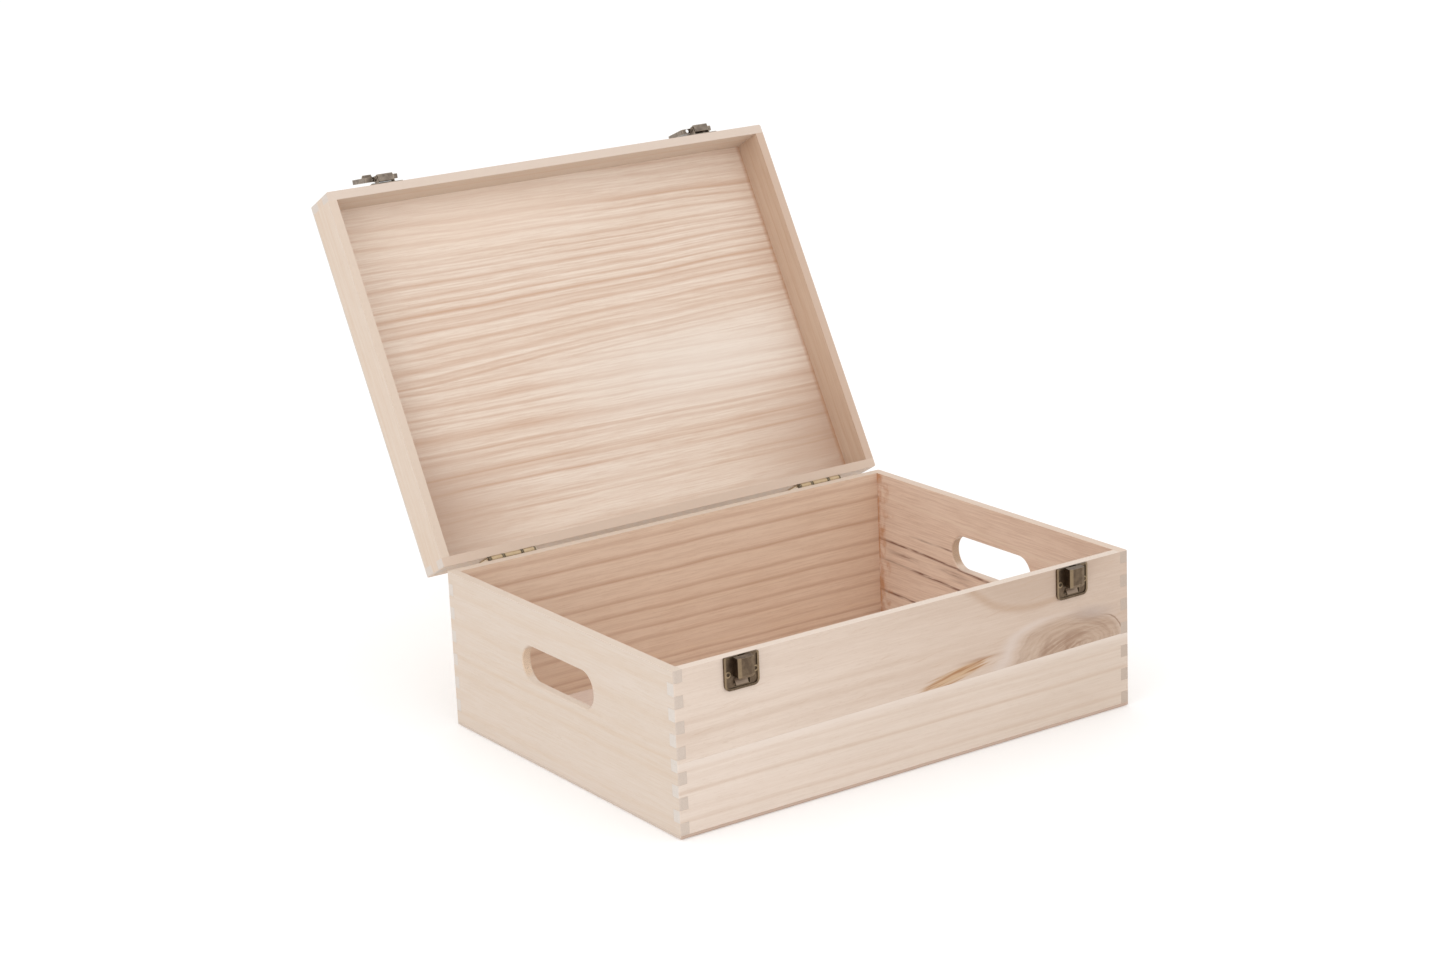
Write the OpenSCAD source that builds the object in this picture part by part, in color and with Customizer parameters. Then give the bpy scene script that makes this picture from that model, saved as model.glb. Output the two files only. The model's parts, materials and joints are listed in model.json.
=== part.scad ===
// Wooden toy box with a hinged lid, two brass hinges and two bronzed hasp latches.
// Millimetres. The origin is the centre of the base's underside, X runs along the front,
// -Y is the front, +Z is up. The lid stands open and both hasps are flipped back.

/* [Base] */
// length of the box along its front
box_l = 400; // [360:5:440]
// depth of the box, front to back
box_d = 298; // [270:2:330]
// height of the base with its bottom panel
base_h = 120; // [116:1:130]
// thickness of the base's walls
wall_t = 7.4; // [6.5:0.1:9]
// thickness of the panel glued under the walls
bottom_t = 3; // [2.5:0.1:4]
// fingers and gaps up one corner of the base
base_fingers = 13; // [9:2:15]
// rounding of the four upright corners
corner_r = 1.6; // [0.8:0.2:2.4]
// rounding of the lowest and highest outer edges
foot_r = 2; // [1:0.2:2.2]

/* [Front boards] */
// height of the glue seam between the two front boards, at the left end
seam_left = 54; // [50:0.5:56]
// height of the same seam at the right end
seam_right = 57.5; // [56:0.5:60]

/* [Hand holes] */
// length of the hole in each side
grip_l = 94; // [84:1:104]
// height of the hole
grip_h = 28; // [24:1:30]
// height of the hole's centre above the ground
grip_z = 76.5; // [72:0.5:80]
// chamfer on the hole's rims
grip_chamfer = 0.8; // [0.4:0.1:1.2]

/* [Lid] */
// height of the lid with its top panel
lid_h = 32; // [28:1:36]
// thickness of the lid's rails
rail_t = 7; // [6:0.1:8]
// thickness of the lid's top panel
top_t = 3; // [2.5:0.1:4]
// gap between the rims when the lid is shut
rim_gap = 0.3; // [0.2:0.1:0.6]
// how far the lid stands open, in degrees from shut
lid_open = 118.7; // [0:0.1:118.7]

/* [Hinges] */
// length of a hinge along its pin
hinge_l = 39.5; // [36:0.5:44]
// distance of each hinge's middle from the box's middle
hinge_x = 142.5; // [130:0.5:150]
// height of one leaf, from the pin to its edge
leaf_h = 17; // [15:0.5:20]
// thickness of the brass sheet
leaf_t = 1; // [0.8:0.1:1.2]
// outer radius of the knuckles
knuckle_r = 2.2; // [2.1:0.05:2.3]
// length of the middle knuckle
mid_knuckle_l = 16; // [14:0.5:18]
// radius of the hinge pin
hinge_pin_r = 1.1; // [1:0.05:1.15]
// distance of the pin's axis behind the rear face
axis_out = 2.35; // [2.3:0.05:2.45]

/* [Latches] */
// distance of each latch's middle from the box's middle
latch_x = 145.5; // [135:0.5:155]
// width of the catch plate, the bracket and the hasp
latch_w = 28.5; // [27:0.5:30]
// height of the catch plate
plate_h = 24; // [23.5:0.1:24.5]
// thickness of the pressed sheet
sheet_t = 0.8; // [0.7:0.05:0.9]
// how far the rolled edge of a plate stands out from the wood
bead_h = 1.6; // [1.3:0.1:1.8]
// how far the keeper box stands out from the wood
keeper_out = 7.5; // [7:0.1:7.5]
// how far the left hasp is flipped back, in degrees from shut
left_hasp_open = 163.2; // [0:0.1:172.5]
// how far the right hasp is flipped back, in degrees from shut
right_hasp_open = 172.5; // [0:0.1:172.5]
// distance of the hasp's pin above the lid's rim
hasp_pin_up = 6.3; // [6.1:0.1:6.5]
// distance of the hasp's pin out from the lid's front
hasp_pin_out = 6.5; // [6.3:0.1:6.7]
// radius of the hasp's pin
hasp_pin_r = 1; // [0.9:0.05:1.05]

/* [Part] */
// which piece is drawn; all draws the whole box

/* [Hidden] */

wood_c = [0.85, 0.76, 0.68];
edge_c = [0.62, 0.48, 0.36];
bronze_c = [0.33, 0.28, 0.22];
brass_c = [0.78, 0.62, 0.32];

half_l = box_l / 2;
half_d = box_d / 2;
front_y = -half_d;
rear_y = half_d;
wall_h = base_h - bottom_t;
finger_h = wall_h / base_fingers;
lid_z = base_h + rim_gap;
rail_h = lid_h - top_t;
lid_fingers = 3;
lid_finger_h = rail_h / lid_fingers;
axis_y = rear_y + axis_out;
axis_z = base_h + rim_gap / 2;
past = 1;
hasp_pin_z = lid_z + hasp_pin_up;
fit = 0.05;

// hinge
end_knuckle_l = (hinge_l - mid_knuckle_l) / 2;
knuckle_gap = 0.15;
leaf_clear = knuckle_r + 0.2;
hinge_screw_x = hinge_l * 0.31;
hinge_screw_drop = leaf_h * 0.6;
screw_r = 1;
screw_head_r = 2;
screw_l = 6;
stop_angle = 118.7;
stop_root = 1.5;
stop_reach = 4.2;

// latch
plate_corner_r = 4.5;
plate_top_r = 1.4;
inner_r = 0.4;
bead_w = 1.5;
nail_x = 11.3;
nail_r = 0.6;
nail_head_r = 1.25;
nail_l = 6;
nail_drop = 12.3;
nail_head_t = 0.5;
nail_seat = 0.5;
ring_r = 2.3;
ring_out = 1.4;
keeper_half_w = 7;
keeper_face_half_w = 4;
keeper_chamfer = 0.6;
keeper_foot_chamfer = 2.2;
keeper_top_fall = 0.6;
keeper_top = 0.2;
keeper_foot = 15.4;
strike_w = 10.2;
strike_shift = -1.1;
strike_drop = 20.5;
strike_out = 3.3;
window_left = -6.2;
window_right = 6.7;
window_drop = 21.4;
window_floor = 0.25;
bracket_up = 3.3;
bracket_h = 9;
bracket_nail_up = 7.8;
ear_x = 6.55;
ear_r = 2.2;
stop_lip_out = 4.7;
stop_lip_w = 18;
pin_head_r = 1.4;
pin_head_t = 0.8;
hub_half_w = 6.4;
hub_r = 3.05;
hub_ease = 0.6;
gusset_end = 6.5;
tray_root = 3.5;
tray_tip = 28.3;
tray_floor = -1.9;
tray_rim = 1.8;
tray_root_r = 1.4;
tooth_out = 4.2;
relief_r = 1.5;
relief_x = 9.3;

// ---------- placing ----------

module in_lid() {
    translate([0, axis_y, axis_z])
        rotate([-lid_open, 0, 0])
            translate([0, -axis_y, -axis_z])
                children();
}

module at_hasp_pin(x, open) {
    translate([x, front_y - hasp_pin_out, hasp_pin_z])
        rotate([-open, 0, 0])
            children();
}

// turns a profile drawn as (y, z) into a bar running along X
module along_x(from_x, to_x) {
    translate([from_x, 0, 0])
        rotate([90, 0, 90])
            linear_extrude(height = to_x - from_x)
                children();
}

// turns an outline drawn as (x, z) into a plate that starts at y and grows toward the front
module toward_front(y, thick) {
    translate([0, y, 0])
        rotate([90, 0, 0])
            linear_extrude(height = thick)
                children();
}

module rod_x(from_x, to_x, r, facets) {
    translate([from_x, 0, 0])
        rotate([0, 90, 0])
            cylinder(r = r, h = to_x - from_x, $fn = facets);
}

module rod_to_rear(r, h, facets) {
    rotate([-90, 0, 0])
        cylinder(r = r, h = h, $fn = facets);
}

// ---------- outlines ----------

// an outline of width w from low to high, its lower corners of radius low_r and its upper of high_r
module plate_outline(w, low, high, low_r, high_r) {
    translate([-w / 2, low + low_r])
        square([w, high - low - low_r - high_r]);
    translate([-w / 2 + low_r, low])
        square([w - 2 * low_r, low_r]);
    translate([-w / 2 + high_r, high - high_r])
        square([w - 2 * high_r, high_r]);
    for (side = [-1, 1]) {
        translate([side * (w / 2 - low_r), low + low_r])
            circle(r = low_r, $fn = 32);
        translate([side * (w / 2 - high_r), high - high_r])
            circle(r = high_r, $fn = 32);
    }
}

// ---------- wood ----------

// a rectangle about the origin with four round corners
module rounded_rect(w, h, r) {
    plate_outline(w, -h / 2, h / 2, r, r);
}

module outer_prism(z, h) {
    translate([0, 0, z])
        linear_extrude(height = h)
            rounded_rect(box_l, box_d, corner_r);
}

// a thin panel over the whole plan, its lower outer edges rounded
module eased_panel(t) {
    intersection() {
        outer_prism(0, t);
        toward_front(half_d + past, box_d + 2 * past)
            translate([0, base_h / 2])
                rounded_rect(box_l, base_h, foot_r);
        along_x(-half_l - past, half_l + past)
            translate([0, base_h / 2])
                rounded_rect(box_d, base_h, foot_r);
    }
}

// the blocks cut away from both ends of a wall that runs along X, where the other walls' fingers lie
module end_gaps(reach, t, z, h, which) {
    for (i = which)
        for (turn = [0, 180])
            rotate([0, 0, turn])
                translate([reach - t, -box_l, z + i * h])
                    cube([t + past, 2 * box_l, h]);
}

// a wall or rail along X from near_y to near_y + t, with the given finger gaps
module long_wall(near_y, t, z, h, step, which) {
    intersection() {
        difference() {
            translate([-half_l, near_y, z])
                cube([box_l, t, h]);
            end_gaps(half_l, t, z, step, which);
        }
        outer_prism(z, h);
    }
}

// the same along Y
module side_wall(near_x, t, z, h, step, which) {
    intersection() {
        difference() {
            translate([near_x, -half_d, z])
                cube([t, box_d, h]);
            rotate([0, 0, 90])
                end_gaps(half_d, t, z, step, which);
        }
        outer_prism(z, h);
    }
}

module front_wall() {
    long_wall(front_y, wall_t, bottom_t, wall_h, finger_h, [0 : 2 : base_fingers - 1]);
}

module below_seam() {
    toward_front(front_y + 2 * wall_t, 3 * wall_t)
        polygon([
            [-half_l - past, 0],
            [half_l + past, 0],
            [half_l + past, seam_right],
            [-half_l - past, seam_left]
        ]);
}

// a nail hole and the space for its shank, from a face at y, reaching toward the rear
module nail_holes(y, z) {
    for (side = [-1, 1])
        for (off = [-nail_x, nail_x])
            translate([side * latch_x + off, y, z])
                rod_to_rear(nail_r, nail_l - sheet_t + past / 2, 24);
}

module front_board_lower() {
    color(wood_c)
        intersection() {
            front_wall();
            below_seam();
        }
}

module front_board_upper() {
    color(wood_c)
        difference() {
            front_wall();
            below_seam();
            nail_holes(front_y, base_h - nail_drop);
        }
}

module back_panel() {
    color(wood_c)
        difference() {
            long_wall(rear_y - wall_t, wall_t, bottom_t, wall_h, finger_h, [0 : 2 : base_fingers - 1]);
            hinge_screw_holes(axis_z - hinge_screw_drop);
        }
}

// a long hole with round ends through a side wall, both rims chamfered
module hand_hole(near_x) {
    r = grip_h / 2;
    reach = grip_l / 2 - r;
    translate([near_x, 0, grip_z]) {
        for (end = [-1, 1])
            translate([0, end * reach, 0]) {
                rod_x(-past, wall_t + past, r, 64);
                rotate([0, 90, 0])
                    cylinder(r1 = r + grip_chamfer, r2 = r, h = grip_chamfer, $fn = 64);
                translate([wall_t - grip_chamfer, 0, 0])
                    rotate([0, 90, 0])
                        cylinder(r1 = r, r2 = r + grip_chamfer, h = grip_chamfer, $fn = 64);
            }
        translate([-past, -reach, -r])
            cube([wall_t + 2 * past, 2 * reach, grip_h]);
        translate([0, reach, 0])
            rotate([90, 0, 0])
                linear_extrude(height = 2 * reach)
                    polygon([
                        [0, -r - grip_chamfer],
                        [grip_chamfer, -r],
                        [wall_t - grip_chamfer, -r],
                        [wall_t, -r - grip_chamfer],
                        [wall_t, r + grip_chamfer],
                        [wall_t - grip_chamfer, r],
                        [grip_chamfer, r],
                        [0, r + grip_chamfer]
                    ]);
    }
}

module side_panel(near_x) {
    color(wood_c)
        difference() {
            side_wall(near_x, wall_t, bottom_t, wall_h, finger_h, [1 : 2 : base_fingers - 2]);
            hand_hole(near_x);
        }
}

module left_panel() {
    side_panel(-half_l);
}

module right_panel() {
    side_panel(half_l - wall_t);
}

module bottom_panel() {
    color(edge_c)
        eased_panel(bottom_t);
}

module lid_front_rail() {
    color(wood_c)
        in_lid()
            difference() {
                long_wall(front_y, rail_t, lid_z, rail_h, lid_finger_h, [1]);
                nail_holes(front_y, lid_z + bracket_nail_up);
            }
}

module lid_back_rail() {
    color(wood_c)
        in_lid()
            difference() {
                long_wall(rear_y - rail_t, rail_t, lid_z, rail_h, lid_finger_h, [1]);
                hinge_screw_holes(axis_z + hinge_screw_drop);
            }
}

module lid_side_rail(near_x) {
    color(wood_c)
        in_lid()
            side_wall(near_x, rail_t, lid_z, rail_h, lid_finger_h, [0, 2]);
}

module lid_left_rail() {
    lid_side_rail(-half_l);
}

module lid_right_rail() {
    lid_side_rail(half_l - rail_t);
}

module lid_top_panel() {
    color(wood_c)
        in_lid()
            translate([0, 0, lid_z + lid_h])
                mirror([0, 0, 1])
                    eased_panel(top_t);
}

// ---------- hinges ----------

module hinge_screw_holes(z) {
    for (side = [-1, 1])
        for (off = [-hinge_screw_x, hinge_screw_x])
            translate([side * hinge_x + off, rear_y - screw_l + leaf_t - past / 2, z])
                rod_to_rear(screw_r, screw_l, 24);
}

// one countersunk screw, its head's face at the origin and its shank toward the front
module leaf_screw() {
    difference() {
        union() {
            rotate([90, 0, 0])
                cylinder(r = screw_r, h = screw_l, $fn = 24);
            rotate([90, 0, 0])
                cylinder(r1 = screw_head_r, r2 = screw_r, h = leaf_t, $fn = 24);
        }
        for (turn = [0, 90])
            rotate([0, turn, 0])
                cube([2.4, 0.9, 0.45], center = true);
    }
}

module leaf_screws(z) {
    for (side = [-1, 1])
        for (off = [-hinge_screw_x, hinge_screw_x])
            translate([side * hinge_x + off, rear_y + leaf_t, z])
                leaf_screw();
}

// a leaf seen with the pin's axis at the origin; up is 1 for the lid's leaf and -1 for the base's
module leaf_plate(up) {
    z0 = up > 0 ? leaf_clear : -leaf_h;
    difference() {
        translate([-hinge_l / 2, -axis_out, z0])
            cube([hinge_l, leaf_t, leaf_h - leaf_clear]);
        for (off = [-hinge_screw_x, hinge_screw_x])
            translate([off, -axis_out + leaf_t, up * hinge_screw_drop]) {
                rotate([90, 0, 0])
                    cylinder(r1 = screw_head_r, r2 = screw_r, h = leaf_t, $fn = 24);
                translate([0, -leaf_t - past, 0])
                    rod_to_rear(screw_r, leaf_t + 2 * past, 24);
            }
    }
}

// a knuckle from from_x to to_x and the strip of sheet that joins it to its leaf
module knuckle(from_x, to_x, up) {
    rod_x(from_x, to_x, knuckle_r, 40);
    translate([from_x, -axis_out, up > 0 ? 0 : -leaf_clear - fit])
        cube([to_x - from_x, leaf_t, leaf_clear + fit]);
}

// the fin on an end knuckle that the lid's leaf rests on when the lid is fully open
module stop_fin(from_x, to_x) {
    rotate([-stop_angle, 0, 0])
        translate([from_x, -axis_out + leaf_t + fit, stop_root])
            cube([to_x - from_x, 1, stop_reach - stop_root]);
}

module hinge_base_leaf(x) {
    inner = mid_knuckle_l / 2 + knuckle_gap;
    outer = hinge_l / 2;
    color(brass_c)
        translate([x, axis_y, axis_z])
            difference() {
                union() {
                    leaf_plate(-1);
                    knuckle(-outer, -inner, -1);
                    knuckle(inner, outer, -1);
                    stop_fin(-outer, -inner);
                    stop_fin(inner, outer);
                }
                rod_x(-hinge_l, hinge_l, hinge_pin_r + fit, 40);
            }
}

module hinge_lid_leaf(x) {
    color(brass_c)
        in_lid()
            translate([x, axis_y, axis_z])
                difference() {
                    union() {
                        leaf_plate(1);
                        knuckle(-mid_knuckle_l / 2, mid_knuckle_l / 2, 1);
                    }
                    rod_x(-hinge_l, hinge_l, hinge_pin_r + fit, 40);
                }
}

module hinge_pin(x) {
    head_t = 0.5;
    color(brass_c)
        translate([x, axis_y, axis_z]) {
            rod_x(-hinge_l / 2 - head_t, hinge_l / 2 + head_t, hinge_pin_r, 40);
            rod_x(-hinge_l / 2 - head_t, -hinge_l / 2, hinge_pin_r + 0.5, 40);
            rod_x(hinge_l / 2, hinge_l / 2 + head_t, hinge_pin_r + 0.5, 40);
        }
}

module left_hinge_base_leaf() {
    hinge_base_leaf(-hinge_x);
}

module right_hinge_base_leaf() {
    hinge_base_leaf(hinge_x);
}

module left_hinge_lid_leaf() {
    hinge_lid_leaf(-hinge_x);
}

module right_hinge_lid_leaf() {
    hinge_lid_leaf(hinge_x);
}

module left_hinge_pin() {
    hinge_pin(-hinge_x);
}

module right_hinge_pin() {
    hinge_pin(hinge_x);
}

module hinge_base_screws() {
    color(brass_c)
        leaf_screws(axis_z - hinge_screw_drop);
}

module hinge_lid_screws() {
    color(brass_c)
        in_lid()
            leaf_screws(axis_z + hinge_screw_drop);
}

// ---------- latches ----------

// a pressed plate on a front face: sheet, rolled edge and a raised ring round each nail
module pressed_plate(low, high, low_r, high_r, nail_z) {
    toward_front(front_y, sheet_t)
        plate_outline(latch_w, low, high, low_r, high_r);
    toward_front(front_y, bead_h)
        difference() {
            plate_outline(latch_w, low, high, low_r, high_r);
            plate_outline(
                latch_w - 2 * bead_w,
                low + bead_w,
                high - bead_w,
                max(low_r - bead_w, inner_r),
                max(high_r - bead_w, inner_r)
            );
        }
    for (off = [-nail_x, nail_x])
        translate([off, front_y - ring_out, nail_z])
            rod_to_rear(ring_r, ring_out, 32);
}

// the seat and the hole for each nail of a pressed plate
module nail_seats(nail_z) {
    for (off = [-nail_x, nail_x])
        translate([off, front_y, nail_z]) {
            translate([0, -ring_out - past, 0])
                rod_to_rear(nail_head_r + fit, ring_out + past - nail_seat, 24);
            translate([0, -ring_out - past, 0])
                rod_to_rear(nail_r, ring_out + 2 * past, 24);
        }
}

module one_nail() {
    rod_to_rear(nail_r, nail_l, 24);
    rod_to_rear(nail_head_r, nail_head_t, 24);
}

module nails(z) {
    for (side = [-1, 1])
        for (off = [-nail_x, nail_x])
            translate([side * latch_x + off, front_y - nail_seat - nail_head_t, z])
                one_nail();
}

// the solid that the keeper's skin wraps, shrunk by inset on every side but its back
module keeper_form(inset) {
    y = front_y + (inset > 0 ? past : 0);
    out = front_y - keeper_out + inset;
    shoulder = out + keeper_chamfer;
    side = keeper_half_w - inset;
    face_side = keeper_face_half_w - inset / 2;
    top = base_h - keeper_top - inset;
    foot = base_h - keeper_foot + inset;
    intersection() {
        translate([0, 0, foot])
            linear_extrude(height = top - foot)
                polygon([
                    [-side, y],
                    [-side + 0.2, shoulder],
                    [-face_side, out],
                    [face_side, out],
                    [side - 0.2, shoulder],
                    [side, y]
                ]);
        along_x(-side, side)
            polygon([
                [y, top],
                [out, top - keeper_top_fall],
                [out, foot + keeper_foot_chamfer],
                [out + 1.2, foot],
                [y, foot]
            ]);
        toward_front(y, y - out)
            plate_outline(2 * side, foot, top, 2.5, 0.5);
    }
}

module keeper_slot() {
    translate([0, front_y - 1.6, base_h - 1])
        cube([6.4, 1.4, 3], center = true);
}

module strike() {
    along_x(strike_shift - strike_w / 2, strike_shift + strike_w / 2)
        polygon([
            [front_y, base_h - keeper_foot],
            [front_y - sheet_t, base_h - keeper_foot],
            [front_y - strike_out, base_h - strike_drop + 0.3],
            [front_y - strike_out + 0.75, base_h - strike_drop]
        ]);
}

module catch_plate(x) {
    window_top = keeper_foot + 0.8;
    color(bronze_c)
        translate([x, 0, 0]) {
            difference() {
                union() {
                    pressed_plate(base_h - plate_h, base_h, plate_corner_r, plate_top_r, base_h - nail_drop);
                    keeper_form(0);
                }
                keeper_form(sheet_t);
                keeper_slot();
                nail_seats(base_h - nail_drop);
                translate([window_left, front_y - 2, base_h - window_drop])
                    cube([window_right - window_left, 2 - window_floor, window_drop - window_top]);
            }
            strike();
        }
}

// one ear of the bracket, between x and x + sheet_t
module bracket_ear(x) {
    along_x(x, x + sheet_t)
        union() {
            translate([front_y - hasp_pin_out, hasp_pin_z])
                circle(r = ear_r, $fn = 32);
            translate([front_y - hasp_pin_out, hasp_pin_z - ear_r])
                square([hasp_pin_out, 2 * ear_r]);
        }
}

module hasp_bracket(x) {
    low = lid_z + bracket_up;
    color(bronze_c)
        in_lid()
            translate([x, 0, 0])
                difference() {
                    union() {
                        pressed_plate(low, low + bracket_h, plate_top_r, plate_top_r, lid_z + bracket_nail_up);
                        bracket_ear(ear_x);
                        bracket_ear(-ear_x - sheet_t);
                        translate([-stop_lip_w / 2, front_y - stop_lip_out, low + bracket_h - sheet_t])
                            cube([stop_lip_w, stop_lip_out, sheet_t]);
                    }
                    nail_seats(lid_z + bracket_nail_up);
                    translate([0, front_y - hasp_pin_out, hasp_pin_z])
                        rod_x(-latch_w, latch_w, hasp_pin_r + fit, 32);
                }
}

module hasp_pin(x) {
    shank = ear_x + sheet_t;
    tip = shank + pin_head_t;
    color(bronze_c)
        in_lid()
            translate([x, front_y - hasp_pin_out, hasp_pin_z]) {
                rod_x(-tip, tip, hasp_pin_r, 32);
                rod_x(-tip, -shank, pin_head_r, 32);
                rod_x(shank, tip, pin_head_r, 32);
            }
}

// the hub's outline as (toward the box, along the hasp); the pin's axis is at the origin
module hub_side() {
    polygon([
        [-hub_r, hub_r - hub_ease],
        [-hub_r + hub_ease, hub_r],
        [hub_r - hub_ease, hub_r],
        [hub_r, hub_r - hub_ease],
        [hub_r, hub_r / 2],
        [0.4, -gusset_end],
        [tray_floor, -gusset_end],
        [-hub_r, -hub_r * 0.65]
    ]);
}

module hub_hollow() {
    polygon([
        [-hub_r + sheet_t, hub_r - sheet_t],
        [2 * hub_r, hub_r - sheet_t],
        [2 * hub_r, -gusset_end - 2],
        [tray_floor + sheet_t, -gusset_end - 2],
        [tray_floor + sheet_t, -gusset_end],
        [-hub_r + sheet_t, -hub_r * 0.65]
    ]);
}

module tray_outline(inset) {
    plate_outline(
        latch_w - 2 * inset,
        -tray_tip + inset,
        -tray_root - inset,
        plate_corner_r - inset,
        tray_root_r - inset
    );
}

// one hasp as it hangs when shut, the pin's axis along X through the origin
module hasp_shut() {
    difference() {
        union() {
            toward_front(tray_rim, tray_rim - tray_floor)
                tray_outline(0);
            along_x(-hub_half_w, hub_half_w)
                hub_side();
        }
        toward_front(tray_rim + past, tray_rim + past - tray_floor - sheet_t)
            difference() {
                tray_outline(sheet_t);
                translate([-hub_half_w, -gusset_end])
                    square([2 * hub_half_w, gusset_end]);
            }
        along_x(-hub_half_w + sheet_t, hub_half_w - sheet_t)
            hub_hollow();
        rod_x(-latch_w, latch_w, hasp_pin_r + fit, 32);
        for (side = [-1, 1])
            translate([side * relief_x, 0.15, -tray_root - sheet_t - fit])
                cylinder(r = relief_r, h = sheet_t + past, $fn = 24);
    }
    translate([0, 0, -tray_tip])
        linear_extrude(height = sheet_t)
            polygon([
                [-4.6, 0],
                [4.6, 0],
                [4.6, tray_rim],
                [3.6, tooth_out],
                [-3.6, tooth_out],
                [-4.6, tray_rim]
            ]);
}

module hasp(x, open) {
    color(bronze_c)
        in_lid()
            at_hasp_pin(x, open)
                hasp_shut();
}

module left_catch_plate() {
    catch_plate(-latch_x);
}

module right_catch_plate() {
    catch_plate(latch_x);
}

module catch_nails() {
    color(bronze_c)
        nails(base_h - nail_drop);
}

module bracket_nails() {
    color(bronze_c)
        in_lid()
            nails(lid_z + bracket_nail_up);
}

module left_hasp_bracket() {
    hasp_bracket(-latch_x);
}

module right_hasp_bracket() {
    hasp_bracket(latch_x);
}

module left_hasp_pin() {
    hasp_pin(-latch_x);
}

module right_hasp_pin() {
    hasp_pin(latch_x);
}

module left_hasp() {
    hasp(-latch_x, left_hasp_open);
}

module right_hasp() {
    hasp(latch_x, right_hasp_open);
}

front_board_lower();
front_board_upper();
left_panel();
right_panel();
back_panel();
bottom_panel();
left_catch_plate();
right_catch_plate();
catch_nails();
left_hinge_base_leaf();
right_hinge_base_leaf();
left_hinge_pin();
right_hinge_pin();
hinge_base_screws();
lid_front_rail();
lid_back_rail();
lid_left_rail();
lid_right_rail();
lid_top_panel();
left_hinge_lid_leaf();
right_hinge_lid_leaf();
hinge_lid_screws();
left_hasp_bracket();
right_hasp_bracket();
left_hasp_pin();
right_hasp_pin();
bracket_nails();
left_hasp();
right_hasp();
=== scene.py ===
"""Looks of the wooden toy box: an open-lidded paulownia box with bronzed hasps and brass hinges.

The CAD solids stay as the shapes. This script rounds their edges, gives every board its own solid
wood with growth rings that run through it, gives the metal its aged finish, and sets the floor,
the studio light and the camera. Metres, in the CAD frame.
"""

import json
import math

import bpy
from mathutils import Matrix, Vector


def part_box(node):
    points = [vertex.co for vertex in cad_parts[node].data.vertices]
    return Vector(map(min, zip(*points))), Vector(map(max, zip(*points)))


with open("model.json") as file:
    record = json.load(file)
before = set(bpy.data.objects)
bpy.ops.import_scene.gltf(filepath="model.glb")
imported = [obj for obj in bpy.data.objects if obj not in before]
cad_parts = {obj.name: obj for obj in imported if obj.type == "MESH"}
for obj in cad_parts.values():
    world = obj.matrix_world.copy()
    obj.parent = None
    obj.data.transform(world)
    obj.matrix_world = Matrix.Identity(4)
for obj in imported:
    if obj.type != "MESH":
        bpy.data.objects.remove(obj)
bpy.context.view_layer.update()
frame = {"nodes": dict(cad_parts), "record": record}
nodes = frame["nodes"]
scene = bpy.context.scene


def srgb(red, green, blue):
    """A linear colour from 0 to 255 display values."""

    def linear(value):
        value /= 255
        return value / 12.92 if value <= 0.04045 else ((value + 0.055) / 1.055) ** 2.4

    return (linear(red), linear(green), linear(blue), 1.0)


# ---------- measures taken from the frame ----------

MM = 1000.0
JOINTS = {joint["name"]: joint for joint in frame["record"]["behaviour"]["joints"]}
LID_OPEN = math.radians(JOINTS["lid_hinge"]["range_deg"][1])
LATCH_X = JOINTS["right_hasp_pivot"]["pos_m"][0] * MM
pin_low, pin_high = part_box("left_hinge_pin")
HINGE_AXIS = (pin_low + pin_high) / 2
HINGE_X = abs(HINGE_AXIS.x) * MM
FRONT_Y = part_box("front_board_upper")[0].y * MM


# ---------- node trees ----------


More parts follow.
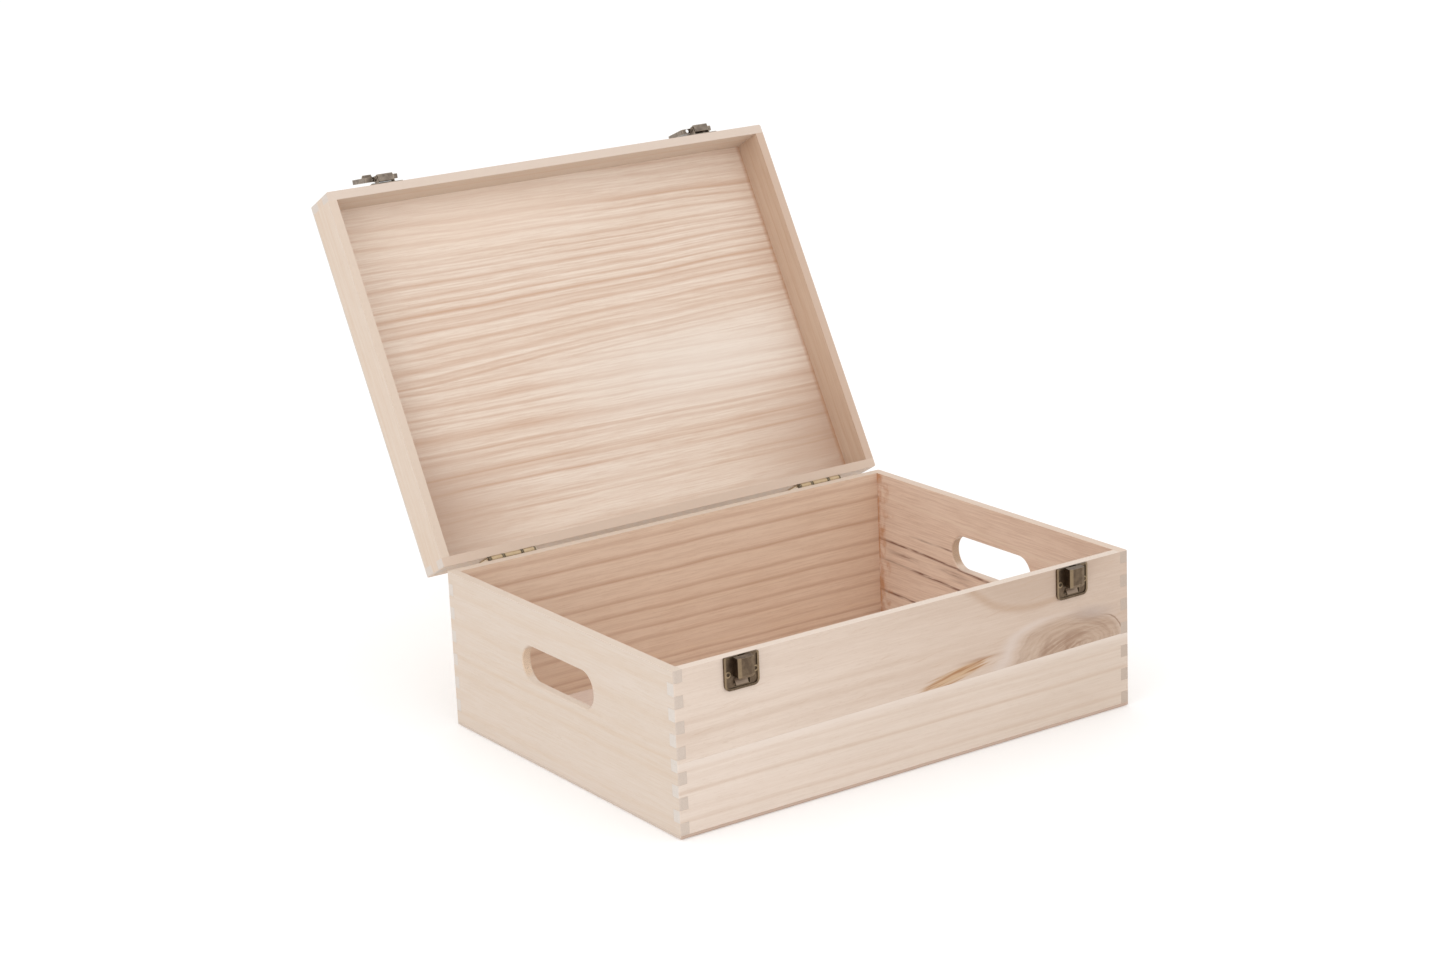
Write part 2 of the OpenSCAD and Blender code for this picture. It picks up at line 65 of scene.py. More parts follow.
class Tree:
    """A material's node tree. Each call adds a node and gives back its output socket."""

    def __init__(self, name):
        self.material = bpy.data.materials.new(name)
        self.material.use_nodes = True
        self.nodes = self.material.node_tree.nodes
        self.links = self.material.node_tree.links
        self.nodes.clear()

    def add(self, kind, sockets, **settings):
        node = self.nodes.new("ShaderNode" + kind)
        for key, value in settings.items():
            setattr(node, key, value)
        for key, value in sockets.items():
            if isinstance(value, bpy.types.NodeSocket):
                self.links.new(value, node.inputs[key])
            else:
                node.inputs[key].default_value = value
        return node

    def math(self, operation, a, b=0.0, c=0.0, clamp=False):
        sockets = {0: a, 1: b}
        if operation == "MULTIPLY_ADD":
            sockets[2] = c
        return self.add("Math", sockets, operation=operation, use_clamp=clamp).outputs[0]

    def plus(self, a, b):
        return self.math("ADD", a, b)

    def minus(self, a, b):
        return self.math("SUBTRACT", a, b)

    def times(self, a, b):
        return self.math("MULTIPLY", a, b)

    def far(self, a, b):
        """Distance in a plane, from its two parts."""
        return self.math("SQRT", self.plus(self.times(a, a), self.times(b, b)))

    def fit(self, value, low, high, to_low=0.0, to_high=1.0, smooth=False):
        """value from low..high to to_low..to_high, held at both ends."""
        kind = "SMOOTHSTEP" if smooth else "LINEAR"
        sockets = {
            "Value": value,
            "From Min": low,
            "From Max": high,
            "To Min": to_low,
            "To Max": to_high,
        }
        return self.add("MapRange", sockets, interpolation_type=kind, clamp=True).outputs[0]

    def mix(self, factor, a, b):
        """Colour a where factor is 0 and colour b where it is 1."""
        return self.add("Mix", {0: factor, 6: a, 7: b}, data_type="RGBA").outputs[2]

    def vector(self, x, y, z):
        return self.add("CombineXYZ", {0: x, 1: y, 2: z}).outputs[0]

    def split(self, vector):
        return self.add("SeparateXYZ", {0: vector}).outputs

    def noise(self, vector, scale=1.0, detail=2.0, rough=0.5):
        sockets = {"Vector": vector, "Scale": scale, "Detail": detail, "Roughness": rough}
        return self.add("TexNoise", sockets, noise_dimensions="3D").outputs[0]

    def noise_1d(self, value):
        sockets = {"W": value, "Scale": 1.0, "Detail": 0.0, "Roughness": 0.5}
        return self.add("TexNoise", sockets, noise_dimensions="1D").outputs[0]

    def random_1d(self, value):
        """A random level for each whole number."""
        return self.add("TexWhiteNoise", {"W": value}, noise_dimensions="1D").outputs[0]

    def ramp(self, value, stops):
        """A line through (position, level) stops, with positions and levels from 0 to 1."""
        node = self.add("ValToRGB", {0: value})
        items = node.color_ramp.elements
        while len(items) < len(stops):
            items.new(0.5)
        for item, (position, level) in zip(items, stops):
            item.position = position
            item.color = (level, level, level, 1.0)
        return node.outputs[0]

    def finish(self, colour, roughness, height, distance, **fixed):
        """The surface shader, its bump from height, and settings that are the same all over."""
        bump = self.add("Bump", {"Height": height, "Distance": distance, "Strength": 1.0})
        sockets = {"Base Color": colour, "Roughness": roughness, "Normal": bump.outputs[0]}
        shader = self.add("BsdfPrincipled", sockets)
        for key, value in fixed.items():
            shader.inputs[key.replace("_", " ")].default_value = value
        output = self.add("OutputMaterial", {0: shader.outputs[0]})
        output.is_active_output = True
        return self.material


# ---------- wood ----------

AXES = {"x": 0, "y": 1, "z": 2}
PORE_SHARE = 0.2
HOLE_REACH = 56.0  # mm from the board's middle, just past the ends of the hand hole
WOOD_RELIEF = 0.0001


# gains above 0.86 are painted light, lifting the boards that get less light: the inner ones and the
# front
def tint(red, green, blue, gain=0.86):
    """A wood colour as it looks in the studio light, as the wood's own colour."""
    return tuple(c * gain for c in srgb(red, green, blue)[:3]) + (1.0,)


def shaded(colour, gain):
    """A colour made lighter or darker, held at 1."""
    return tuple(min(1.0, c * gain) for c in colour[:3]) + (1.0,)


class Board(Tree):
    """One board's wood. u runs along its grain, v across its wide face and t through it, in mm."""

    def __init__(self, name, along, across, through, seed, in_lid=False):
        super().__init__(name)
        coordinates = self.add("TexCoord", {})
        place, facing = coordinates.outputs["Object"], coordinates.outputs["Normal"]
        if in_lid:
            place = self.turned(place, HINGE_AXIS)
            facing = self.turned(facing, (0, 0, 0))
        place, facing = self.split(place), self.split(facing)
        order = [AXES[a] for a in (along, across, through)]
        self.u, self.v, self.t = [self.times(place[i], MM) for i in order]
        self.nu, self.nv, self.nt = [facing[i] for i in order]
        self.seed = seed
        self.spots = []

    def turned(self, vector, centre):
        sockets = {"Vector": vector, "Center": centre, "Angle": LID_OPEN}
        return self.add("VectorRotate", sockets, rotation_type="X_AXIS").outputs[0]

    def grain(self, along, across, seed=0.0, v=None):
        """A vector for noise that is stretched along the grain."""
        v = self.v if v is None else v
        return self.vector(
            self.math("MULTIPLY_ADD", self.u, along, self.seed + seed),
            self.math("MULTIPLY_ADD", v, across, (self.seed + seed) * 1.7),
            self.math("MULTIPLY_ADD", self.t, across, (self.seed + seed) * 0.6),
        )

    def wander(self, reach, along=0.0045, across=0.006):
        """A slow wave of the grain, reach mm either way."""
        wave = self.noise(self.grain(along, across, 20.0), detail=2.0, rough=0.45)
        return self.math("MULTIPLY_ADD", wave, reach * 4, -reach * 2)

    def radius(self, v, heart):
        """Distance from the tree's heart, a line along the grain at (v, t)."""
        return self.far(self.minus(v, heart[0]), self.minus(self.t, heart[1]))

    def rings(self, radius, spacing, uneven=1.0, sharp=0.9, seed=0.0, broad=0.14):
        """Growth rings from 0 in the pale early wood to 1 in the late line, which ends sharply."""
        count = self.times(radius, 1.0 / spacing)
        loose = self.noise_1d(self.math("MULTIPLY_ADD", count, 0.41, self.seed + seed))
        count = self.math("MULTIPLY_ADD", loose, uneven * 3, count)
        phase = self.math("FRACT", count)
        stops = [(0, 0.0), (0.25, 0.04), (sharp - broad, 0.35), (sharp, 1.0), (1, 0.0)]
        line = self.ramp(phase, stops)
        share = self.random_1d(self.math("ADD", self.math("FLOOR", count), self.seed))
        line = self.times(line, self.fit(share, 0.0, 1.0, 0.2, 1.0))
        fade = self.noise(self.grain(0.008, 0.02, 30.0 + seed), detail=1.0)
        return self.times(line, self.fit(fade, 0.3, 0.62, 0.5, 1.0))

    def layers(self, v, low, high, lines):
        """Late-wood lines at set places: (place, width, strength), in rising order."""
        stops = []
        for place, width, strength in lines:
            stops += [(place - 0.45 * width, 0.0), (place, strength), (place + width, 0.0)]
        return self.curve(v, low, high, stops)

    def curve(self, value, low, high, points):
        """A value read off a line through (place, level) points; levels lie between 0 and 1."""
        stops = [((place - low) / (high - low), level) for place, level in points]
        return self.ramp(self.fit(value, low, high), stops)

    def band(self, centre, half, start, end, soft=12.0, v=None):
        """1 on a thin line at v = centre between u = start and end, fading off either side."""
        v = self.v if v is None else v
        away = self.math("ABSOLUTE", self.minus(v, centre))
        across = self.fit(away, 0.0, half, 1.0, 0.0, smooth=True)
        begin = self.fit(self.u, start - soft, start + soft)
        stop = self.fit(self.u, end - soft, end + soft, 1.0, 0.0)
        return self.times(across, self.times(begin, stop))

    def oval(self, u, v, half_u, half_v, lean=0.0):
        """0 at (u, v), 1 on an ellipse about it and more outside; lean is its slope along u."""
        du = self.minus(self.u, u)
        dv = self.math("MULTIPLY_ADD", du, -lean, self.minus(self.v, v))
        du = self.times(du, 1.0 / half_u)
        dv = self.times(dv, 1.0 / half_v)
        return self.far(du, dv)

    def blob(self, u, v, half_u, half_v, lean=0.0):
        """1 in the middle of that ellipse, falling to 0 on it."""
        return self.fit(self.oval(u, v, half_u, half_v, lean), 0.0, 1.0, 1.0, 0.0, smooth=True)

    def stain_and_light(self, mask, colour):
        """Lays a colour on the wood where mask is 1: stains, painted light and shade. Later ones lie on
        top.
        """
        self.spots.append((mask, colour))

    def wood(
        self,
        pale,
        warm,
        line,
        end,
        lines,
        tone=0.5,
        mottled=0.3,
        fibre_share=0.12,
        rim=None,
        hole_end=None,
    ):
        """The board's surface: pale and warm wood, late-wood lines, fibres, pores and end grain.

        lines is a list of (mask, share), and tone, from 0 to 1, leans the wood from pale to warm.
        rim colours the board's long edges, and hole_end the sawn ends of a hand hole.
        """
        mottle = self.noise(self.grain(0.006, 0.03, 2.0), detail=3.0, rough=0.5)
        shade = self.math("ADD", self.fit(mottle, 0.3, 0.7, -mottled, mottled), tone, clamp=True)
        colour = self.mix(shade, pale, warm)
        fibre = self.noise(self.grain(0.035, 0.9, 3.0), detail=4.0, rough=0.6)
        colour = self.mix(self.fit(fibre, 0.45, 0.75, 0.0, fibre_share * 2), colour, line)
        light = shaded(pale, 1.07)
        colour = self.mix(self.fit(fibre, 0.5, 0.25, 0.0, fibre_share * 2), colour, light)
        total = 0.0
        for mask, share in lines:
            colour = self.mix(self.times(mask, share), colour, line)
            total = self.math("MULTIPLY_ADD", mask, share, total)
        pores = self.noise(self.grain(0.16, 2.4, 4.0), detail=2.0, rough=0.6)
        pore = self.fit(pores, 0.6, 0.72)
        colour = self.mix(self.times(pore, PORE_SHARE), colour, line)
        for mask, stain_and_light in self.spots:
            colour = self.mix(mask, colour, stain_and_light)
        if rim is not None:
            on_rim = self.fit(self.math("ABSOLUTE", self.nv), 0.5, 0.8, 0.0, 0.8)
            colour = self.mix(on_rim, colour, rim)

        on_end = self.fit(self.math("ABSOLUTE", self.nu), 0.55, 0.8)
        across = self.vector(self.times(self.u, 0.2), self.times(self.v, 1.7), self.times(self.t, 1.7))
        speckle = self.noise(across, detail=3.0, rough=0.7)
        dark_end = shaded(end, 0.86)
        end_colour = self.mix(self.fit(speckle, 0.4, 0.75), end, dark_end)
        end_colour = self.mix(self.math("MULTIPLY", total, 0.5, clamp=True), end_colour, dark_end)
        if hole_end is not None:
            # the sawn ends of the hand hole are warmer and full of open pores
            hole = self.fit(self.math("ABSOLUTE", self.u), HOLE_REACH + 4.0, HOLE_REACH)
            pits = self.fit(self.noise(across, scale=1.6, detail=3.0, rough=0.75), 0.5, 0.62)
            sawn = self.mix(self.times(pits, 0.8), hole_end, shaded(hole_end, 0.45))
            end_colour = self.mix(hole, end_colour, sawn)
        colour = self.mix(on_end, colour, end_colour)

        gloss = self.noise(self.grain(0.01, 0.2, 6.0), detail=2.0)
        roughness = self.math("ADD", self.fit(gloss, 0.3, 0.7, 0.46, 0.58), self.times(on_end, 0.18))
        height = self.math("MULTIPLY_ADD", fibre, 0.5, self.times(total, 0.25))
        height = self.math("MULTIPLY_ADD", pore, -0.5, height)
        height = self.math("MULTIPLY_ADD", self.times(speckle, on_end), 0.8, height)
        return self.finish(colour, roughness, height, WOOD_RELIEF, IOR=1.45, Specular_IOR_Level=0.35)


# Below, places and sizes are in mm from the box's middle along u, and along v from the floor or,
# in the bottom and the lid's panel, from the middle. Shares and strengths run from 0 to 1.

PALE_END = tint(228, 218, 209)
OUTSIDE = tint(226, 209, 192)  # the outer faces' own colour; the inner faces keep paler colours, painted light against their shade


def front_upper():
    """The upper front board: a bowl of rings, the swirl round a knot and a resin streak."""
    b = Board("wood_front_upper", "x", "z", "y", seed=3.1)
    wave = b.wander(2.0)
    v = b.plus(b.v, wave)
    lines = [(62, 3.5, 0.45), (72, 5, 0.8), (82, 4.5, 0.7), (95, 6, 0.15), (107, 6, 0.2)]
    faint = b.layers(v, 50, 120, lines)
    faint = b.times(faint, b.fit(b.u, 10.0, 70.0, 1.0, 0.1))
    fine = b.rings(b.radius(v, (-60.0, -60.0)), 5.0, seed=1.0)
    flow = b.noise(b.grain(0.02, 0.05, 8.0), detail=3.0)
    # a bowl of rings that hangs from the top edge
    bowl = b.oval(118.0, 150.0, 80.0, 56.0)
    bowl = b.math("MULTIPLY_ADD", flow, 0.1, b.plus(bowl, -0.05))
    b.stain_and_light(b.fit(bowl, 1.02, 0.8, 0.0, 0.5, smooth=True), tint(198, 172, 152))
    ring = b.fit(b.math("ABSOLUTE", b.plus(bowl, -0.97)), 0.0, 0.09, 0.5, 0.0, smooth=True)
    b.stain_and_light(b.times(ring, b.fit(b.u, 130.0, 165.0, 1.0, 0.0)), tint(190, 156, 128))
    # the swirl round a knot, whose rings crowd toward its right end
    spread = b.oval(138.0, 58.0, 58.0, 27.0)
    centre = b.math("MULTIPLY_ADD", b.minus(1.0, spread), 24.0, 137.0)
    du = b.times(b.minus(b.u, centre), 1 / 56)
    dv = b.times(b.minus(b.v, 57.0), 1 / 28)
    swirl = b.far(du, dv)
    swirl = b.math("MULTIPLY_ADD", flow, 0.3, b.plus(swirl, -0.15))
    inside = b.fit(swirl, 1.04, 0.74, smooth=True)
    halo = b.fit(b.math("ABSOLUTE", b.plus(swirl, -1.02)), 0.0, 0.13, 0.6, 0.0, smooth=True)
    b.stain_and_light(b.times(halo, b.fit(b.u, 105.0, 150.0, 1.0, 0.0)), tint(226, 210, 200))
    b.stain_and_light(b.times(inside, b.fit(b.u, 84.0, 130.0, 0.25, 0.62)), tint(188, 158, 134))
    b.stain_and_light(b.times(b.blob(165.0, 80.0, 32.0, 9.0, lean=-0.1), 0.5), tint(180, 162, 154))
    # dark strokes that fan out of the knot's lower left and run on to the right
    lean = b.math("MULTIPLY_ADD", b.u, -0.2, b.v)
    strokes = b.noise(b.grain(0.03, 0.36, 9.0, v=b.plus(lean, b.times(swirl, 14.0))), detail=3.0)
    stroke = b.times(b.fit(strokes, 0.5, 0.64), inside)
    b.stain_and_light(b.times(stroke, b.fit(b.u, 90.0, 120.0, 0.05, 0.25)), tint(150, 116, 94))
    angle = b.math("ARCTAN2", dv, du)
    round_knot = b.vector(b.times(swirl, 10.0), b.times(angle, 0.8), 4.0)
    fibres = b.noise(round_knot, detail=4.0, rough=0.62)
    b.stain_and_light(b.times(b.fit(fibres, 0.46, 0.68), b.times(inside, 0.45)), tint(150, 116, 92))
    b.stain_and_light(b.times(b.fit(fibres, 0.46, 0.3), b.times(inside, 0.35)), tint(220, 200, 180))
    core = b.times(b.blob(139.0, 61.5, 30.0, 9.5, lean=0.12), b.fit(strokes, 0.38, 0.55))
    b.stain_and_light(b.times(core, 0.65), tint(146, 106, 78))
    tip = b.fit(b.math("ABSOLUTE", b.plus(swirl, -0.98)), 0.0, 0.03, 0.75, 0.0, smooth=True)
    b.stain_and_light(b.times(tip, b.times(b.fit(b.u, 170.0, 184.0), b.fit(b.v, 58.0, 63.0))), tint(142, 108, 84))
    # the orange spear of resin beside it
    slant = b.math("MULTIPLY_ADD", b.u, -0.16, b.v)
    streaks = b.noise(b.grain(0.03, 0.5, 11.0, v=slant), detail=3.0)
    spear = b.blob(38.0, 61.5, 50.0, 8.5, lean=0.17)
    spear = b.math("ADD", spear, b.fit(streaks, 0.3, 0.7, -0.3, 0.2), clamp=True)
    b.stain_and_light(b.fit(spear, 0.05, 0.75, 0.0, 0.8, smooth=True), tint(206, 168, 128))
    b.stain_and_light(b.times(b.fit(spear, 0.15, 0.6), b.fit(streaks, 0.48, 0.62, 0.0, 0.85)), tint(172, 122, 80))
    b.stain_and_light(b.times(b.fit(spear, 0.3, 0.8), b.fit(streaks, 0.42, 0.3, 0.0, 0.6)), tint(232, 206, 164))
    tail = b.band(68.0, 2.2, 46.0, 74.0, v=b.plus(b.v, b.times(wave, 0.6)))
    b.stain_and_light(b.times(tail, 0.6), tint(172, 130, 100))
    # pale to warm toward the right: partly the board's own tone, partly painted shade as the left light
    # falls off
    tone = b.fit(b.u, -150.0, 110.0, 0.12, 0.95)
    colours = tint(227, 210, 196, 0.96), tint(208, 185, 167, 0.9), tint(186, 150, 120)
    lines = [(faint, 0.25), (fine, 0.06)]
    rim = tint(236, 220, 206, 0.93)
    return b.wood(*colours, PALE_END, lines, tone, mottled=0.12, fibre_share=0.07, rim=rim)


def front_lower():
    """The lower front board: faint level lines."""
    b = Board("wood_front_lower", "x", "z", "y", seed=6.4)
    v = b.plus(b.math("MULTIPLY_ADD", b.u, 0.006, b.v), b.wander(1.2))
    lines = [(11, 3, 0.8), (19, 4, 0.3), (32, 3, 1.0), (41, 4, 0.3), (47, 3, 0.5)]
    faint = b.layers(v, 0, 60, lines)
    fine = b.rings(b.radius(v, (-70.0, -200.0)), 4.6)
    # painted highlight: the wood is painted paler toward the seam, which climbs along the board
    seam_highlight = b.fit(b.math("MULTIPLY_ADD", b.u, -0.00875, b.v), 49.5, 54.5)
    b.stain_and_light(b.times(seam_highlight, 0.6), tint(236, 222, 211, 0.92))
    # pale to warm toward the right: partly the board's own tone, partly painted shade as the left light
    # falls off
    tone = b.fit(b.u, -150.0, 150.0, 0.1, 0.8)
    colours = tint(229, 213, 200, 0.96), tint(215, 197, 181, 0.92), tint(196, 160, 130)
    lines = [(faint, 0.34), (fine, 0.06)]
    return b.wood(*colours, PALE_END, lines, tone, mottled=0.12, fibre_share=0.07)


def left_side():
    """The left end: broad soft layers."""
    b = Board("wood_left", "y", "z", "x", seed=11.7)
    v = b.plus(b.v, b.wander(3.0))
    lines = [(12, 5, 0.5), (44, 4, 0.6), (56, 4, 0.9), (64, 5, 0.5), (82, 8, 0.5), (107, 9, 0.6)]
    soft = b.layers(v, 0, 125, lines)
    fine = b.rings(b.radius(v, (-50.0, -150.0)), 4.2)
    lines = [(soft, 0.26), (fine, 0.1)]
    colours = tint(228, 213, 200, 0.84), tint(222, 204, 187, 0.84), tint(212, 178, 140, 0.84)
    end, rim = tint(217, 201, 188, 0.9), tint(229, 212, 196, 0.9)
    return b.wood(*colours, end, lines, 0.4, mottled=0.25, rim=rim, hole_end=tint(230, 206, 182, 1.0))


STREAK_BREADTH = 1.35


def right_side():
    """The right end: dark mineral streaks, and glue at the back corner."""
    b = Board("wood_right", "y", "z", "x", seed=15.2)
    wave = b.wander(1.6)
    # v falls toward the back, as the dark streaks do
    v = b.plus(b.math("MULTIPLY_ADD", b.u, -0.045, b.v), wave)
    rings = b.rings(b.radius(v, (-40.0, 130.0)), 6.5)
    pale = b.band(97.0, 2.2, -160.0, 150.0, v=v)
    b.stain_and_light(b.times(pale, 0.5), tint(234, 214, 194, 0.95))
    rough_edge = b.noise(b.grain(0.06, 0.7, 12.0), detail=2.0)
    streak = tint(128, 84, 68, 0.8)
    # dark mineral streaks: height, half width, start, end and depth of each
    for height, half, start, end, depth in (
        (71.5, 1.1, 74.0, 92.0, 0.7),
        (72.5, 1.0, 42.0, 64.0, 0.8),
        (60.0, 1.3, -6.0, 150.0, 0.95),
        (43.2, 1.4, 25.0, 100.0, 0.95),
        (43.5, 1.1, 105.0, 150.0, 0.5),
        (17.0, 1.3, 85.0, 150.0, 0.9),
        (52.0, 2.6, 90.0, 122.0, 0.6),
        (54.5, 2.6, 30.0, 58.0, 0.6),
        (50.0, 1.8, 20.0, 44.0, 0.5),
    ):
        mask = b.band(height, half * STREAK_BREADTH, start, end, v=v)
        mask = b.times(mask, b.fit(rough_edge, 0.34, 0.54, 0.25, 1.0))
        b.stain_and_light(b.times(mask, depth), streak)
    # painted light: the inner face keeps its lifted colours; the outer face goes half way back to
    # OUTSIDE
    b.stain_and_light(b.fit(b.nt, 0.3, 0.7, 0.0, 0.5), OUTSIDE)
    # glue that crept out of the back corner
    creep = b.noise(b.grain(0.12, 0.09, 14.0), detail=3.0, rough=0.6)
    reach = b.fit(b.math("MULTIPLY_ADD", creep, 60.0, b.u), 160.0, 176.0)
    reach = b.math("MAXIMUM", reach, b.times(b.fit(b.u, 137.5, 140.5), b.fit(creep, 0.35, 0.5)))
    b.stain_and_light(b.times(b.times(reach, b.fit(b.nt, -0.3, -0.7)), 0.75), tint(190, 130, 84, 0.95))
    lines = [(rings, 0.3)]
    colours = tint(229, 207, 189, 0.98), tint(221, 195, 175, 0.98), tint(190, 148, 124, 0.84)
    end, rim = tint(199, 181, 166, 0.94), tint(224, 203, 185, 0.92)
    return b.wood(*colours, end, lines, 0.5, fibre_share=0.2, rim=rim, hole_end=tint(206, 176, 150, 0.9))


def back():
    """The back: straight late-wood lines."""
    b = Board("wood_back", "x", "z", "y", seed=21.9)
    v = b.plus(b.math("MULTIPLY_ADD", b.u, 0.004, b.v), b.wander(1.6, along=0.007))
    lines = [(6, 2.2, 0.8), (12, 2.2, 0.9), (20, 3, 0.3), (31, 3, 0.7), (41, 3, 0.8), (55, 3.2, 0.9)]
    lines += [(66, 3.2, 0.8), (83, 3.4, 1.0), (101, 3.4, 0.9), (113, 3.4, 0.6)]
    late = b.layers(v, 0, 125, lines)
    fine = b.rings(b.radius(v, (-60.0, 90.0)), 5.2)
    b.stain_and_light(b.times(b.band(16.0, 1.6, -220.0, 220.0, v=v), 0.5), tint(232, 206, 180, 0.95))
    colours = tint(230, 207, 187, 1.01), tint(225, 199, 176, 0.99), tint(188, 138, 106, 0.86)
    lines = [(late, 0.5), (fine, 0.12)]
    # painted light: the inner face keeps its lifted colours; the outer face goes most of the way back to
    # OUTSIDE
    b.stain_and_light(b.fit(b.nt, 0.3, 0.7, 0.0, 0.7), OUTSIDE)
    return b.wood(*colours, PALE_END, lines, 0.5, fibre_share=0.12, rim=tint(228, 210, 194))


def bottom():
    """The bottom panel: plain pale wood with a darker edge."""
    b = Board("wood_bottom", "x", "y", "z", seed=27.3)
    v = b.plus(b.v, b.wander(5.0))
    rings = b.rings(b.radius(v, (30.0, -320.0)), 8.0)
    colours = tint(232, 216, 205, 1.08), tint(224, 205, 192, 1.08), tint(190, 154, 130)
    return b.wood(*colours, tint(220, 203, 189), [(rings, 0.3)], 0.5, rim=tint(192, 164, 145))


def lid_panel():
    """The panel of the lid: close lines that fan out along the board."""
    b = Board("wood_lid_panel", "x", "y", "z", seed=33.8, in_lid=True)
    # how far each line falls or climbs along the board, against its place across it
    fan = [(-136, 0.2), (-101, 0.2), (-73, 0.5), (-51, 0.63), (-26, 0.77), (0, 0.94)]
    fan += [(5, 0.96), (9, 0.36), (39, 0.2), (59, 0.28), (79, 0.42), (109, 0.5)]
    slope = b.math("MULTIPLY_ADD", b.curve(b.v, -149, 149, fan), 0.1, -0.05)
    v = b.math("MULTIPLY_ADD", b.plus(b.u, 140.0), slope, b.v)
    v = b.plus(v, b.wander(1.5, along=0.007, across=0.012))
    strong = [(-107, 3, 0.6), (-73, 3, 0.8), (-49, 3, 1.0), (-43, 4, 0.9), (-23, 4, 0.9)]
    strong += [(-1, 3, 0.8), (51, 3, 0.8), (61, 3, 0.9), (82, 3, 1.0)]
    first = b.layers(v, -149, 149, strong)
    even = b.rings(b.plus(v, 600.0), 8.4, uneven=0.6, sharp=0.78, seed=2.0, broad=0.26)
    fine = b.rings(b.plus(v, 900.0), 3.3, uneven=0.5, sharp=0.75, seed=7.0, broad=0.3)
    # these marks lie on the inner face only
    inner = b.fit(b.nt, 0.0, -0.5)
    # painted sheen: a pale patch where the light's reflection lies
    b.stain_and_light(b.times(b.blob(95.0, 30.0, 190.0, 58.0), b.times(inner, 0.6)), tint(241, 230, 219, 0.95))
    # painted light on the panel by the front rail
    b.stain_and_light(b.times(b.blob(-60.0, -122.0, 190.0, 45.0), b.times(inner, 0.4)), tint(244, 226, 210, 1.05))
    # painted shade by the rails: in the back corners and along the left side
    shade = tint(196, 164, 142, 0.92)
    for u, v_spot, half_u, half_v, depth in (
        (-190.0, 105.0, 120.0, 75.0, 0.75),
        (190.0, 112.0, 120.0, 80.0, 0.7),
        (-196.0, 30.0, 45.0, 120.0, 0.35),
    ):
        b.stain_and_light(b.times(b.blob(u, v_spot, half_u, half_v), b.times(inner, depth)), shade)
    # a dark joint line at the right rail
    b.stain_and_light(b.times(b.fit(b.u, 189.0, 192.5), b.times(inner, 0.7)), tint(196, 148, 112))
    lines = [(first, 0.5), (even, 0.78), (fine, 0.28)]
    colours = tint(236, 221, 207, 0.99), tint(229, 209, 191, 0.96), tint(203, 160, 130, 0.9)
    return b.wood(*colours, PALE_END, lines, 0.45, fibre_share=0.18)


def lid_rail(name, along, through, seed, pale, warm, line, rim):
    """One rail of the lid's frame."""
    b = Board(name, along, "z", through, seed=seed, in_lid=True)
    v = b.plus(b.v, b.wander(2.0))
    rings = b.rings(b.radius(v, (60.0, 260.0)), 5.0)
    broad = b.rings(b.plus(b.plus(v, b.times(b.t, 0.6)), 400.0), 8.5, uneven=0.7, seed=3.0)
    lines = [(rings, 0.2), (broad, 0.3)]
    return b.wood(pale, warm, line, tint(224, 212, 202), lines, 0.5, rim=rim)


# ---------- metal ----------

EDGE_WEAR = 0.0005
CORNER_REACH = 0.0025
METAL_RELIEF = 0.00003


class Metal(Tree):
    """Aged metal: cloudy tarnish, worn bright edges and painted shade in its corners. x, y and z are in
    mm.
    """

    def __init__(self, name, dark, mid, bright, seed):
        super().__init__(name)
        self.dark, self.bright = dark, bright
        place = self.add("TexCoord", {}).outputs["Object"]
        self.x, self.y, self.z = [self.times(value, MM) for value in self.split(place)]
        shift = self.add("VectorMath", {0: place, 1: (seed, seed, seed)}, operation="ADD").outputs[0]
        self.cloud = self.noise(shift, scale=260.0, detail=3.0)
        self.grit = self.noise(shift, scale=1500.0, detail=3.0, rough=0.6)
        colour = self.mix(self.fit(self.cloud, 0.35, 0.65), dark, mid)
        self.colour = self.mix(self.fit(self.grit, 0.35, 0.7, 0.0, 0.35), colour, dark)

    def near(self, value, centre, half, soft=0.3):
        """1 where value lies within half of centre."""
        away = self.math("ABSOLUTE", self.minus(value, centre))
        return self.fit(away, half - soft, half + soft, 1.0, 0.0)

    def wear_and_glint(self, mask, share=1.0):
        """Brightens the metal where mask is 1, in patches: wear, and in places a painted glint."""
        patchy = self.fit(self.grit, 0.3, 0.55, 0.6, 1.0)
        self.colour = self.mix(self.times(self.times(mask, share), patchy), self.colour, self.bright)

    def paint_shade(self, mask, share=1.0, depth=0.3):
        """Darkens the metal where mask is 1, to depth times its dark colour, as painted shade."""
        self.colour = self.mix(self.times(mask, share), self.colour, shaded(self.dark, depth))

    def metal(self, roughness, edges=0.8, corners=0.5):
        """The finished metal, worn on its edges and with painted shade in its corners."""
        rounded = self.add("Bevel", {"Radius": EDGE_WEAR}, samples=6).outputs[0]
        normal = self.add("NewGeometry", {}).outputs["True Normal"]
        dot = self.add("VectorMath", {0: rounded, 1: normal}, operation="DOT_PRODUCT")
        self.wear_and_glint(self.fit(dot.outputs["Value"], 0.995, 0.9), edges)
        # painted shade: the corners darkened by ambient occlusion
        corner_shade = self.add("AmbientOcclusion", {"Distance": CORNER_REACH}, samples=6).outputs["AO"]
        self.paint_shade(self.fit(corner_shade, 0.75, 0.3), corners)
        rough = self.fit(self.grit, 0.3, 0.7, roughness - 0.07, roughness + 0.1)
        height = self.plus(self.times(self.cloud, 0.5), self.grit)
        return self.finish(self.colour, rough, height, METAL_RELIEF, Metallic=1.0)


